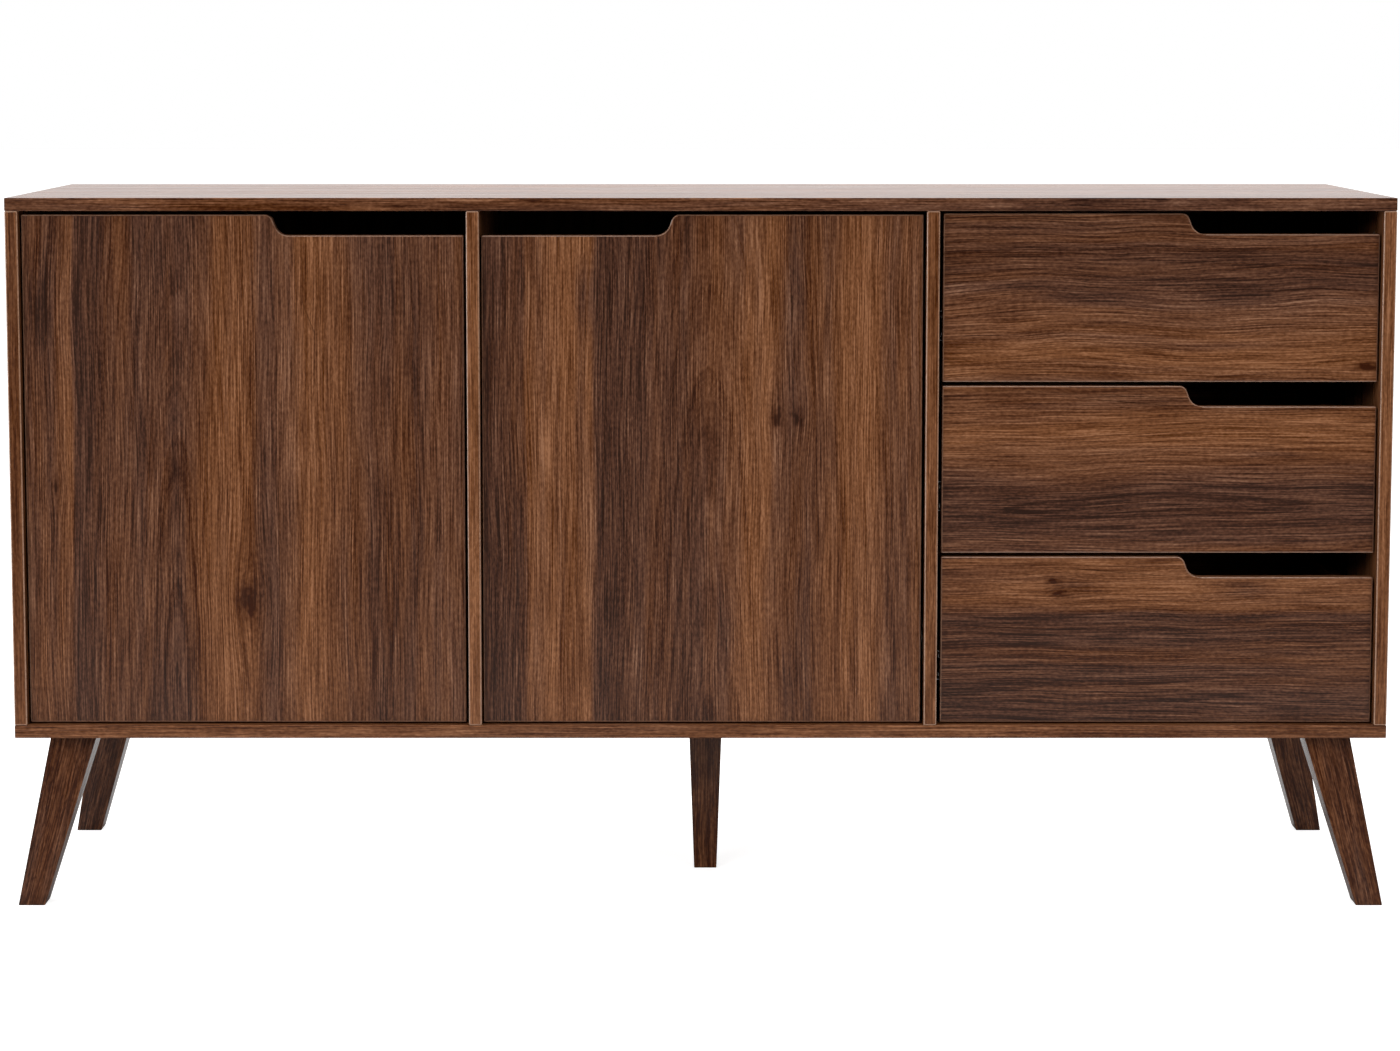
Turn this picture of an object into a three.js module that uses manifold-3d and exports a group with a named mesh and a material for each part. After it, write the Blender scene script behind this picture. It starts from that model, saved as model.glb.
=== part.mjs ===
// A sideboard with two doors and three drawers on splayed, tapered legs.
// Millimetres, +Z up. Someone facing it looks along +Y, with +X to their right.
// The origin is on the floor, under the middle of the case.

import * as THREE from 'three';
import { mergeVertices } from 'three/addons/utils/BufferGeometryUtils.js';
import Module from 'manifold-3d';

const wasm = await Module();
wasm.setup();

// ---- Driving dimensions -------------------------------------------------------------------------

// The case
const WIDTH = 1600;
const DEPTH = 400;
const HEIGHT = 830;
const LEG_HEIGHT = 200;
const BOARD = 15;
const LEFT_DIVIDER_X = -270;
const RIGHT_DIVIDER_X = 260;

// The back boards, which stand in grooves near the rear edges
const BACK_BOARD = 3;
const BACK_INSET = 10;
const GROOVE_DEPTH = 5;
const GROOVE_PLAY = 0.3;

// Door and drawer fronts, set back from the case's front edges
const RECESS = 9.5;
const FRONT_BOARD = 15;
const LEFT_DOOR_GAPS = { left: 2, right: 3.5 };
const MIDDLE_DOOR_GAPS = { left: 1.8, right: 3.3 };
const DRAWER_GAPS = { left: 4.6, right: 2.2 };
const FRONT_GAP_BELOW = 2;
const DOOR_GAP_ABOVE = 4.5;
const DRAWER_GAP_BETWEEN = 4.5;
const DRAWER_GAP_ABOVE = 3.1;

// The finger notch in a front's top edge: an S-shaped end, then a level floor out to the free end
const NOTCH_LENGTH = 229;
const NOTCH_DEPTH = 24;
const NOTCH_TOP_RADIUS = 10;
const NOTCH_FLOOR_RADIUS = 17;
const NOTCH_SLOPE = THREE.MathUtils.degToRad(70);
const NOTCH_TIP_RADIUS = 2;

// Legs, as rectangles at the floor and under the case
const LEG_FOOT = { width: 31, depth: 30 };
const LEG_HEAD = { width: 54, depth: 45 };
const LEG_HEAD_INSET = { side: 38, end: 25 };
const FRONT_FOOT_INSET = 2;
const REAR_FOOT_INSET = 8;
const CENTRE_LEG = { x: 7, y: -12, foot: 27.4, head: 41.6 };

// Shelves
const SHELF_SIDE_GAP = 1;
const SHELF_FRONT_SETBACK = 45;
const SHELF_BACK_GAP = 2;

// Drawer boxes and their two-part slides
const DRAWER_COUNT = 3;
const SLIDE_SPACE = 12.5;
const SLIDE_LENGTH = 350;
const SLIDE_SETBACK = 3;
const SLIDE_HEIGHT_ON_SIDE = 50;
const DRAWER_SIDE = { thickness: 12, height: 140, length: 350, lift: 14 };
const DRAWER_BOTTOM = { thickness: 4.5, lift: 10, engagement: 6 };

// Rolled steel rail sections
const RAIL_WALL = 1.2;
const CASE_RAIL = { height: 35, depth: 10, lip: 5 };
const DRAWER_RAIL = { height: 20, depth: 9, lip: 3 };

// Cup hinges, in plan: u along the door from its hinged edge, w back from its front face
const HINGE_INSET = 90;
const CUP = { bore: 17.5, boreDepth: 12, edge: 3, wall: 0.7, gap: 0.3, flange: 1.2 };
const CUP_FLANGE_RADIUS = 19;
const CUP_EAR = { radius: 6, spread: 24, offset: 9.5 };
const ARM_PIVOT = { u: 24, w: 9.6 };
const LINK_BEND = { u: 15.4, w: 7.6 };
const LINK_END = { u: 8.4, w: 12 };
const LINK = { width: 6, radius: 1, eye: 2.1 };
const ARM = { width: 12, thickness: 5, crankStart: 19.5, crankEnd: 38, length: 95, height: 12 };
const ARM_SLOT = { width: 6.8, depth: 2.9 };
const MOUNT_PLATE = { thickness: 2, start: 50, length: 38, height: 50 };

// ---- Finishes -----------------------------------------------------------------------------------

const WALNUT = { color: 0x5f3e2c, roughness: 0.42, metalness: 0 };
const INNER_WALNUT = { color: 0x573a2a, roughness: 0.55, metalness: 0 };
const DRAWER_LINING = { color: 0x6b4a36, roughness: 0.6, metalness: 0 };
const ZINC_STEEL = { color: 0xb9bcc0, roughness: 0.35, metalness: 1 };
const NICKEL_STEEL = { color: 0xc9c8c4, roughness: 0.25, metalness: 1 };

// ---- Places worked out from the dimensions ------------------------------------------------------

const outer = {
  x: [-WIDTH / 2, WIDTH / 2],
  y: [-DEPTH / 2, DEPTH / 2],
  z: [LEG_HEIGHT, HEIGHT],
};
const inner = {
  x: [outer.x[0] + BOARD, outer.x[1] - BOARD],
  z: [outer.z[0] + BOARD, outer.z[1] - BOARD],
};
const backBoardRear = outer.y[1] - BACK_INSET;
const backBoardFront = backBoardRear - BACK_BOARD;
const frontFace = outer.y[0] + RECESS;
const frontBack = frontFace + FRONT_BOARD;

const leftBay = [inner.x[0], LEFT_DIVIDER_X];
const middleBay = [LEFT_DIVIDER_X + BOARD, RIGHT_DIVIDER_X];
const rightBay = [RIGHT_DIVIDER_X + BOARD, inner.x[1]];

// ---- Helpers ------------------------------------------------------------------------------------

const ARC_STEPS = 10;
const TURNED_STEPS = 48;
const UP = Math.PI / 2;
const DOWN = -Math.PI / 2;

const sideboard = new THREE.Group();

function add(name, geometry, finish) {
  const mesh = new THREE.Mesh(geometry, new THREE.MeshStandardMaterial(finish));
  mesh.name = name;
  sideboard.add(mesh);
  return mesh;
}

function middle(range) {
  return (range[0] + range[1]) / 2;
}

// A box from three [low, high] ranges, in place.
function block(x, y, z) {
  const geometry = new THREE.BoxGeometry(x[1] - x[0], y[1] - y[0], z[1] - z[0]);
  return geometry.translate(middle(x), middle(y), middle(z));
}

// A plan outline, in x and y, raised over a [low, high] range of z.
function raise(outline, z) {
  const options = { depth: z[1] - z[0], bevelEnabled: false, curveSegments: ARC_STEPS };
  return new THREE.ExtrudeGeometry(outline, options).translate(0, 0, z[0]);
}

// A front outline, in x and z, carried back over a [low, high] range of y.
function carryBack(outline, y) {
  const options = { depth: y[1] - y[0], bevelEnabled: false, curveSegments: ARC_STEPS };
  return new THREE.ExtrudeGeometry(outline, options).rotateX(Math.PI / 2).translate(0, y[1], 0);
}

function polygon(points) {
  return new THREE.Shape(points.map(([x, y]) => new THREE.Vector2(x, y)));
}

// ---- Cutting and joining ------------------------------------------------------------------------

function toSolid(geometry) {
  const bare = geometry.clone();
  bare.deleteAttribute('normal');
  bare.deleteAttribute('uv');
  const merged = mergeVertices(bare);
  return new wasm.Manifold(new wasm.Mesh({
    numProp: 3,
    vertProperties: new Float32Array(merged.attributes.position.array),
    triVerts: new Uint32Array(merged.index.array),
  }));
}

function toGeometry(solid) {
  const mesh = solid.getMesh();
  const geometry = new THREE.BufferGeometry();
  geometry.setAttribute('position', new THREE.BufferAttribute(mesh.vertProperties, 3));
  geometry.setIndex(new THREE.BufferAttribute(mesh.triVerts, 1));
  geometry.computeVertexNormals();
  return geometry;
}

function cut(geometry, ...cutters) {
  const rest = cutters.reduce((solid, cutter) => solid.subtract(toSolid(cutter)), toSolid(geometry));
  return toGeometry(rest);
}

function join(first, ...others) {
  const whole = others.reduce((solid, other) => solid.add(toSolid(other)), toSolid(first));
  return toGeometry(whole);
}

// ---- The case -----------------------------------------------------------------------------------

const grooveY = [backBoardFront - GROOVE_PLAY, backBoardRear + GROOVE_PLAY];
const grooveX = [inner.x[0] - GROOVE_DEPTH, inner.x[1] + GROOVE_DEPTH];
const grooveZ = [inner.z[0] - GROOVE_DEPTH, inner.z[1] + GROOVE_DEPTH];

function addTopAndBottom() {
  const groove = block(grooveX, grooveY, grooveZ);
  const top = block(outer.x, outer.y, [inner.z[1], outer.z[1]]);
  const bottom = block(outer.x, outer.y, [outer.z[0], inner.z[0]]);
  add('top_panel', cut(top, groove), WALNUT);
  add('bottom_panel', cut(bottom, groove), WALNUT);
}

function addSides() {
  const groove = block(grooveX, grooveY, inner.z);
  const left = block([outer.x[0], inner.x[0]], outer.y, inner.z);
  const right = block([inner.x[1], outer.x[1]], outer.y, inner.z);
  add('left_side_panel', cut(left, groove), WALNUT);
  add('right_side_panel', cut(right, groove), WALNUT);
}

function addDividers() {
  const y = [outer.y[0], backBoardFront];
  add('left_divider', block([LEFT_DIVIDER_X, LEFT_DIVIDER_X + BOARD], y, inner.z), WALNUT);
  add('right_divider', block([RIGHT_DIVIDER_X, RIGHT_DIVIDER_X + BOARD], y, inner.z), WALNUT);
}

// The three back boards meet behind the middle of each divider.
function addBackBoards() {
  const y = [backBoardFront, backBoardRear];
  const z = [grooveZ[0] + GROOVE_PLAY, grooveZ[1] - GROOVE_PLAY];
  const ends = [
    grooveX[0] + GROOVE_PLAY,
    LEFT_DIVIDER_X + BOARD / 2,
    RIGHT_DIVIDER_X + BOARD / 2,
    grooveX[1] - GROOVE_PLAY,
  ];
  ['left', 'middle', 'right'].forEach((bay, index) => {
    const leftEnd = ends[index] + (index > 0 ? GROOVE_PLAY : 0);
    const rightEnd = ends[index + 1] - (index < 2 ? GROOVE_PLAY : 0);
    add(`${bay}_back_panel`, block([leftEnd, rightEnd], y, z), INNER_WALNUT);
  });
}

function addShelf(name, bay) {
  const x = [bay[0] + SHELF_SIDE_GAP, bay[1] - SHELF_SIDE_GAP];
  const y = [outer.y[0] + SHELF_FRONT_SETBACK, backBoardFront - SHELF_BACK_GAP];
  const height = middle(inner.z);
  add(name, block(x, y, [height - BOARD / 2, height + BOARD / 2]), INNER_WALNUT);
}

// ---- Legs ---------------------------------------------------------------------------------------

// A post whose foot and head are level rectangles, each given by its x and y ranges.
function taperedPost(foot, head) {
  const geometry = new THREE.BoxGeometry(1, 1, 1);
  const corners = geometry.attributes.position;
  for (let i = 0; i < corners.count; i += 1) {
    const end = corners.getZ(i) > 0 ? head : foot;
    const x = end.x[corners.getX(i) > 0 ? 1 : 0];
    const y = end.y[corners.getY(i) > 0 ? 1 : 0];
    corners.setXYZ(i, x, y, corners.getZ(i) > 0 ? LEG_HEIGHT : 0);
  }
  geometry.computeVertexNormals();
  return geometry;
}

// A range that starts at an inset from a case edge and runs inwards: sign -1 is the low edge.
function inwards(edge, sign, inset, length) {
  const start = edge - sign * inset;
  const end = start - sign * length;
  return [Math.min(start, end), Math.max(start, end)];
}

function addCornerLeg(name, sideSign, endSign) {
  const side = sideSign * WIDTH / 2;
  const end = endSign * DEPTH / 2;
  const footInset = endSign < 0 ? FRONT_FOOT_INSET : REAR_FOOT_INSET;
  const foot = {
    x: inwards(side, sideSign, 0, LEG_FOOT.width),
    y: inwards(end, endSign, footInset, LEG_FOOT.depth),
  };
  const head = {
    x: inwards(side, sideSign, LEG_HEAD_INSET.side, LEG_HEAD.width),
    y: inwards(end, endSign, LEG_HEAD_INSET.end, LEG_HEAD.depth),
  };
  add(name, taperedPost(foot, head), WALNUT);
}

function addCentreLeg() {
  const square = (size) => ({
    x: [CENTRE_LEG.x - size / 2, CENTRE_LEG.x + size / 2],
    y: [CENTRE_LEG.y - size / 2, CENTRE_LEG.y + size / 2],
  });
  add('centre_leg', taperedPost(square(CENTRE_LEG.foot), square(CENTRE_LEG.head)), WALNUT);
}

// ---- Doors and drawer fronts --------------------------------------------------------------------

// The outline of a front whose notch runs out at its right end, or at its left end when mirrored.
function frontOutline(x, z, notchOnRight) {
  const width = x[1] - x[0];
  const height = z[1] - z[0];
  const floor = height - NOTCH_DEPTH;
  const start = width - NOTCH_LENGTH;
  const roundRun = (NOTCH_TOP_RADIUS + NOTCH_FLOOR_RADIUS) * Math.sin(NOTCH_SLOPE);
  const roundDrop = (NOTCH_TOP_RADIUS + NOTCH_FLOOR_RADIUS) * (1 - Math.cos(NOTCH_SLOPE));
  const slopeRun = (NOTCH_DEPTH - roundDrop) / Math.tan(NOTCH_SLOPE);
  const floorStart = start + roundRun + slopeRun;

  const edge = new THREE.Path();
  edge.moveTo(0, 0);
  edge.lineTo(0, height);
  edge.lineTo(start, height);
  edge.absarc(start, height - NOTCH_TOP_RADIUS, NOTCH_TOP_RADIUS, UP, UP - NOTCH_SLOPE, true);
  edge.absarc(floorStart, floor + NOTCH_FLOOR_RADIUS, NOTCH_FLOOR_RADIUS, DOWN - NOTCH_SLOPE, DOWN, false);
  edge.absarc(width - NOTCH_TIP_RADIUS, floor - NOTCH_TIP_RADIUS, NOTCH_TIP_RADIUS, UP, 0, true);
  edge.lineTo(width, 0);

  const place = (point) => [notchOnRight ? x[0] + point.x : x[1] - point.x, z[0] + point.y];
  return polygon(edge.getPoints(ARC_STEPS).map(place));
}

function cupCentreX(door) {
  return door.hingeX + door.side * (CUP.edge + CUP.bore);
}

// A cylinder or other turned piece about an axis along y, through a cup's centre.
function turned(profile, door, z) {
  const points = profile.map(([radius, depth]) => new THREE.Vector2(radius, depth));
  return new THREE.LatheGeometry(points, TURNED_STEPS).translate(cupCentreX(door), frontFace, z);
}

function addDoor(door) {
  const panel = carryBack(frontOutline(door.x, door.z, door.side > 0), [frontFace, frontBack]);
  const bores = door.hingeHeights.map((z) => turned([
    [0, FRONT_BOARD - CUP.boreDepth],
    [CUP.bore, FRONT_BOARD - CUP.boreDepth],
    [CUP.bore, FRONT_BOARD + 1],
    [0, FRONT_BOARD + 1],
  ], door, z));
  add(`${door.name}_panel`, cut(panel, ...bores), WALNUT);
}

// ---- Cup hinges ---------------------------------------------------------------------------------

// A point in plan, u along the door from its hinged edge and w back from its front face.
function onDoor(door, u, w) {
  return [door.hingeX + door.side * u, frontFace + w];
}

// A bar with round ends between two plan points.
function roundBar(from, to, radius, z) {
  const along = Math.atan2(to[1] - from[1], to[0] - from[0]);
  const bar = new THREE.Shape();
  bar.absarc(from[0], from[1], radius, along + Math.PI / 2, along + Math.PI * 3 / 2, false);
  bar.absarc(to[0], to[1], radius, along - Math.PI / 2, along + Math.PI / 2, false);
  return raise(bar, z);
}

function ring(centre, radius, z) {
  const circle = new THREE.Shape();
  circle.absarc(centre[0], centre[1], radius, 0, Math.PI * 2, false);
  return raise(circle, z);
}

function addHingeCup(door, label, z) {
  const mouth = CUP.bore - CUP.gap - CUP.wall;
  const base = FRONT_BOARD - CUP.boreDepth + CUP.gap;
  const face = FRONT_BOARD + CUP.flange;
  const shell = turned([
    [0, base],
    [CUP.bore - CUP.gap, base],
    [CUP.bore - CUP.gap, FRONT_BOARD],
    [CUP_FLANGE_RADIUS, FRONT_BOARD],
    [CUP_FLANGE_RADIUS, face],
    [mouth, face],
    [mouth, base + CUP.wall],
    [0, base + CUP.wall],
  ], door, z);
  const earX = cupCentreX(door) + door.side * CUP_EAR.offset;
  const ears = new THREE.Shape();
  ears.absarc(earX, z + CUP_EAR.spread, CUP_EAR.radius, 0, Math.PI, false);
  ears.absarc(earX, z - CUP_EAR.spread, CUP_EAR.radius, Math.PI, Math.PI * 2, false);
  const hollow = turned([[0, base], [mouth, base], [mouth, face + 1], [0, face + 1]], door, z);
  const wings = cut(carryBack(ears, [frontBack, frontBack + CUP.flange]), hollow);
  add(`${door.name}_${label}_hinge_cup`, join(shell, wings), NICKEL_STEEL);
}

// The arm is cranked from its mounting plate on the case into the cup, where it ends in a fork.
function addHingeArm(door, label, z) {
  const half = ARM.thickness / 2;
  const panelU = -door.hingeGap;
  const lowU = panelU + MOUNT_PLATE.thickness;
  const highU = panelU + ARM.height;
  const front = ARM_PIVOT.w;
  const outline = polygon([
    onDoor(door, ARM_PIVOT.u - half, front),
    onDoor(door, ARM_PIVOT.u - half, ARM.crankStart),
    onDoor(door, lowU, ARM.crankEnd),
    onDoor(door, lowU, ARM.length),
    onDoor(door, highU, ARM.length),
    onDoor(door, highU, ARM.crankEnd + 1),
    onDoor(door, ARM_PIVOT.u + half, ARM.crankStart + 3),
    onDoor(door, ARM_PIVOT.u + half, front),
  ]);
  const armZ = [z - ARM.width / 2, z + ARM.width / 2];
  const pivot = onDoor(door, ARM_PIVOT.u, ARM_PIVOT.w);
  const plateX = [door.hingeX - door.side * door.hingeGap, onDoor(door, lowU + 0.5, 0)[0]];
  const plateY = [frontFace + MOUNT_PLATE.start, frontFace + MOUNT_PLATE.start + MOUNT_PLATE.length];
  const plateZ = [z - MOUNT_PLATE.height / 2, z + MOUNT_PLATE.height / 2];
  const plate = block([Math.min(...plateX), Math.max(...plateX)], plateY, plateZ);
  const slot = block(
    [pivot[0] - ARM.thickness, pivot[0] + ARM.thickness],
    [pivot[1] - ARM.thickness, pivot[1] + ARM_SLOT.depth],
    [z - ARM_SLOT.width / 2, z + ARM_SLOT.width / 2],
  );
  const arm = join(raise(outline, armZ), ring(pivot, half, armZ), plate);
  add(`${door.name}_${label}_hinge_arm`, cut(arm, slot), NICKEL_STEEL);
}

// The link turns in the arm's fork and carries the cup. It is bent to clear the cup's rim.
function addHingeLink(door, label, z) {
  const linkZ = [z - LINK.width / 2, z + LINK.width / 2];
  const pivot = onDoor(door, ARM_PIVOT.u, ARM_PIVOT.w);
  const bend = onDoor(door, LINK_BEND.u, LINK_BEND.w);
  const end = onDoor(door, LINK_END.u, LINK_END.w);
  const link = join(
    roundBar(pivot, bend, LINK.radius, linkZ),
    roundBar(bend, end, LINK.radius, linkZ),
    ring(pivot, LINK.eye, linkZ),
  );
  add(`${door.name}_${label}_hinge_link`, link, NICKEL_STEEL);
}

function addHinges(door) {
  door.hingeHeights.forEach((z, index) => {
    const label = index === 0 ? 'lower' : 'upper';
    addHingeCup(door, label, z);
    addHingeArm(door, label, z);
    addHingeLink(door, label, z);
  });
}

// A door from its bay and gaps. side is +1 when it is hinged on its left, -1 on its right.
function makeDoor(name, bay, gaps, side) {
  const x = [bay[0] + gaps.left, bay[1] - gaps.right];
  const z = [inner.z[0] + FRONT_GAP_BELOW, inner.z[1] - DOOR_GAP_ABOVE];
  return {
    name,
    x,
    z,
    side,
    hingeX: side > 0 ? x[0] : x[1],
    hingeGap: side > 0 ? gaps.left : gaps.right,
    hingeHeights: [z[0] + HINGE_INSET, z[1] - HINGE_INSET],
  };
}

// ---- Drawers ------------------------------------------------------------------------------------

const boxX = [rightBay[0] + SLIDE_SPACE, rightBay[1] - SLIDE_SPACE];
const boxY = [frontBack, frontBack + DRAWER_SIDE.length];
const railY = [frontBack + SLIDE_SETBACK, frontBack + SLIDE_SETBACK + SLIDE_LENGTH];
const engagedX = [
  boxX[0] + DRAWER_SIDE.thickness - DRAWER_BOTTOM.engagement,
  boxX[1] - DRAWER_SIDE.thickness + DRAWER_BOTTOM.engagement,
];

function drawerHeights(index) {
  const gaps = FRONT_GAP_BELOW + DRAWER_GAP_ABOVE + (DRAWER_COUNT - 1) * DRAWER_GAP_BETWEEN;
  const height = (inner.z[1] - inner.z[0] - gaps) / DRAWER_COUNT;
  const low = inner.z[0] + FRONT_GAP_BELOW + index * (height + DRAWER_GAP_BETWEEN);
  return [low, low + height];
}

// The upper half of a channel section, as [depth from the back of its web, height from its middle].
// The case rail's lips turn inwards.
function caseRailHalf() {
  const { height, depth, lip } = CASE_RAIL;
  const top = height / 2;
  return [
    [0, top],
    [depth, top],
    [depth, top - lip],
    [depth - RAIL_WALL, top - lip],
    [depth - RAIL_WALL, top - RAIL_WALL],
    [RAIL_WALL, top - RAIL_WALL],
  ];
}

// The drawer rail's lips turn outwards, behind the case rail's.
function drawerRailHalf() {
  const { height, depth, lip } = DRAWER_RAIL;
  const top = height / 2;
  return [
    [0, top],
    [depth - RAIL_WALL, top],
    [depth - RAIL_WALL, top + lip],
    [depth, top + lip],
    [depth, top - RAIL_WALL],
    [RAIL_WALL, top - RAIL_WALL],
  ];
}

// A rail whose web's back is at webX, opening towards sign along x.
function rail(half, webX, sign, z) {
  const upper = half.map(([depth, height]) => [webX + sign * depth, z + height]);
  const lower = half.map(([depth, height]) => [webX + sign * depth, z - height]).reverse();
  return carryBack(polygon([...upper, ...lower]), railY);
}

function addSlide(name, z) {
  const sides = [
    { label: 'left', caseX: rightBay[0], boxX: boxX[0], sign: 1 },
    { label: 'right', caseX: rightBay[1], boxX: boxX[1], sign: -1 },
  ];
  for (const side of sides) {
    const caseRail = rail(caseRailHalf(), side.caseX, side.sign, z);
    const drawerRail = rail(drawerRailHalf(), side.boxX, -side.sign, z);
    add(`${name}_${side.label}_case_rail`, caseRail, ZINC_STEEL);
    add(`${name}_${side.label}_drawer_rail`, drawerRail, ZINC_STEEL);
  }
}

function addDrawer(name, index) {
  const front = drawerHeights(index);
  const sideZ = [front[0] + DRAWER_SIDE.lift, front[0] + DRAWER_SIDE.lift + DRAWER_SIDE.height];
  const bottomLow = sideZ[0] + DRAWER_BOTTOM.lift;
  const bottomZ = [bottomLow, bottomLow + DRAWER_BOTTOM.thickness];
  const grooves = block(
    [engagedX[0], engagedX[1]],
    [frontBack - DRAWER_BOTTOM.engagement, boxY[1] + 1],
    [bottomZ[0] - GROOVE_PLAY, bottomZ[1] + GROOVE_PLAY],
  );

  const x = [rightBay[0] + DRAWER_GAPS.left, rightBay[1] - DRAWER_GAPS.right];
  const face = carryBack(frontOutline(x, front, true), [frontFace, frontBack]);
  add(`${name}_front`, cut(face, grooves), WALNUT);

  const leftSide = block([boxX[0], boxX[0] + DRAWER_SIDE.thickness], boxY, sideZ);
  const rightSide = block([boxX[1] - DRAWER_SIDE.thickness, boxX[1]], boxY, sideZ);
  add(`${name}_left_side`, cut(leftSide, grooves), DRAWER_LINING);
  add(`${name}_right_side`, cut(rightSide, grooves), DRAWER_LINING);

  const insideX = [boxX[0] + DRAWER_SIDE.thickness, boxX[1] - DRAWER_SIDE.thickness];
  const backY = [boxY[1] - DRAWER_SIDE.thickness, boxY[1]];
  add(`${name}_back`, block(insideX, backY, [bottomZ[1] + GROOVE_PLAY, sideZ[1]]), DRAWER_LINING);

  const bottomX = [engagedX[0] + GROOVE_PLAY, engagedX[1] - GROOVE_PLAY];
  const bottomY = [frontBack - DRAWER_BOTTOM.engagement + GROOVE_PLAY, boxY[1]];
  add(`${name}_bottom`, block(bottomX, bottomY, bottomZ), DRAWER_LINING);

  addSlide(name, sideZ[0] + SLIDE_HEIGHT_ON_SIDE);
}

// ---- The whole sideboard ------------------------------------------------------------------------

addTopAndBottom();
addSides();
addDividers();
addBackBoards();
addShelf('left_shelf', leftBay);
addShelf('middle_shelf', middleBay);

addCornerLeg('front_left_leg', -1, -1);
addCornerLeg('front_right_leg', 1, -1);
addCornerLeg('rear_left_leg', -1, 1);
addCornerLeg('rear_right_leg', 1, 1);
addCentreLeg();

const doors = [
  makeDoor('left_door', leftBay, LEFT_DOOR_GAPS, 1),
  makeDoor('middle_door', middleBay, MIDDLE_DOOR_GAPS, -1),
];
for (const door of doors) {
  addDoor(door);
  addHinges(door);
}

['bottom_drawer', 'middle_drawer', 'top_drawer'].forEach(addDrawer);

export default sideboard;
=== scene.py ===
import math

import bmesh
import bpy
from mathutils import Matrix, Vector


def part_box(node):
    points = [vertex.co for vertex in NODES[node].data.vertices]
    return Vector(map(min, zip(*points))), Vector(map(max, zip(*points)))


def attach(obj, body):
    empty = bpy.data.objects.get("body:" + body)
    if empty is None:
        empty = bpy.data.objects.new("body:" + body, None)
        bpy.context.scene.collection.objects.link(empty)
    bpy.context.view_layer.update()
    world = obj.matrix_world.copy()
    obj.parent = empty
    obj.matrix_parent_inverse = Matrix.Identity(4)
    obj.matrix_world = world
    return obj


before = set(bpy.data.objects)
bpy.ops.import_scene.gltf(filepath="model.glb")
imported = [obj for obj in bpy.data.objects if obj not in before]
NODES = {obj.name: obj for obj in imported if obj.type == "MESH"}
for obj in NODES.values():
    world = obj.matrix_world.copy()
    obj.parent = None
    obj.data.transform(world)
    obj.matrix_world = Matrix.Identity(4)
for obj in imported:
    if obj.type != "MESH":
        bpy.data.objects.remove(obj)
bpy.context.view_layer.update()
SCENE = bpy.context.scene

# Everything is in metres, in the frame of the CAD model: +Z up, the front faces -Y.
MM = 0.001
DOORS = ("left_door", "middle_door")
DRAWERS = ("bottom_drawer", "middle_drawer", "top_drawer")
UPRIGHTS = ("left_side_panel", "left_divider", "right_divider", "right_side_panel")
SHELVES = ("left_shelf", "middle_shelf")
BACK_PANELS = ("left_back_panel", "middle_back_panel", "right_back_panel")
CORNER_LEGS = ("front_left_leg", "front_right_leg", "rear_left_leg", "rear_right_leg")
HINGE_LABELS = ("lower", "upper")
AXES = "XYZ"
MAP_RANGE_INPUTS = ("From Min", "From Max", "To Min", "To Max")


# ---- Camera, light and floor --------------------------------------------------------------------

def add_camera():
    """A little above the top, and far enough away for the slight perspective of a long lens.

    It looks down a little, in degrees, and the shift does the rest, so the uprights stay nearly parallel."""
    data = bpy.data.cameras.new("camera")
    data.sensor_width = 36
    data.lens = 80.76
    data.shift_x = 0.0133
    data.shift_y = -0.12
    camera = bpy.data.objects.new("camera", data)
    camera.location = (-0.0223, -3.805, 0.99)
    look_down = 5.45
    camera.rotation_euler = (math.radians(90 - look_down), 0, 0)
    SCENE.collection.objects.link(camera)
    SCENE.camera = camera


def add_softbox(name, location, target, size, power, mirrored=False, gloss_only=False):
    """A rectangular light that the camera doesn't see.

    mirrored lets the gloss show it too, and gloss_only leaves it to the gloss alone."""
    data = bpy.data.lights.new(name, "AREA")
    data.shape = "RECTANGLE"
    data.size, data.size_y = size
    data.energy = power
    light = bpy.data.objects.new(name, data)
    light.location = location
    direction = Vector(target) - Vector(location)
    light.rotation_euler = direction.to_track_quat("-Z", "Y").to_euler()
    light.visible_camera = False
    light.visible_glossy = mirrored or gloss_only
    light.visible_diffuse = not gloss_only
    SCENE.collection.objects.link(light)


def add_lights():
    """Soft light from both sides and above, and a gleam that only the gloss shows."""
    add_softbox("key", location=(-2.4, -3.6, 2.6), target=(0, 0, 0.45), size=(2.4, 2.4), power=112)
    add_softbox("fill", location=(2.8, -3.4, 1.6), target=(0, 0, 0.4), size=(2.0, 2.0), power=51)
    add_softbox("overhead", location=(0, 0.2, 3.4), target=(0, 0.1, 0), size=(4.0, 1.6), power=120,
                mirrored=True)
    add_softbox("side_gleam", location=(-3.4, -1.2, 0.9), target=(0, -0.2, 0.5), size=(1.6, 2.6), power=90,
                gloss_only=True)


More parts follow.
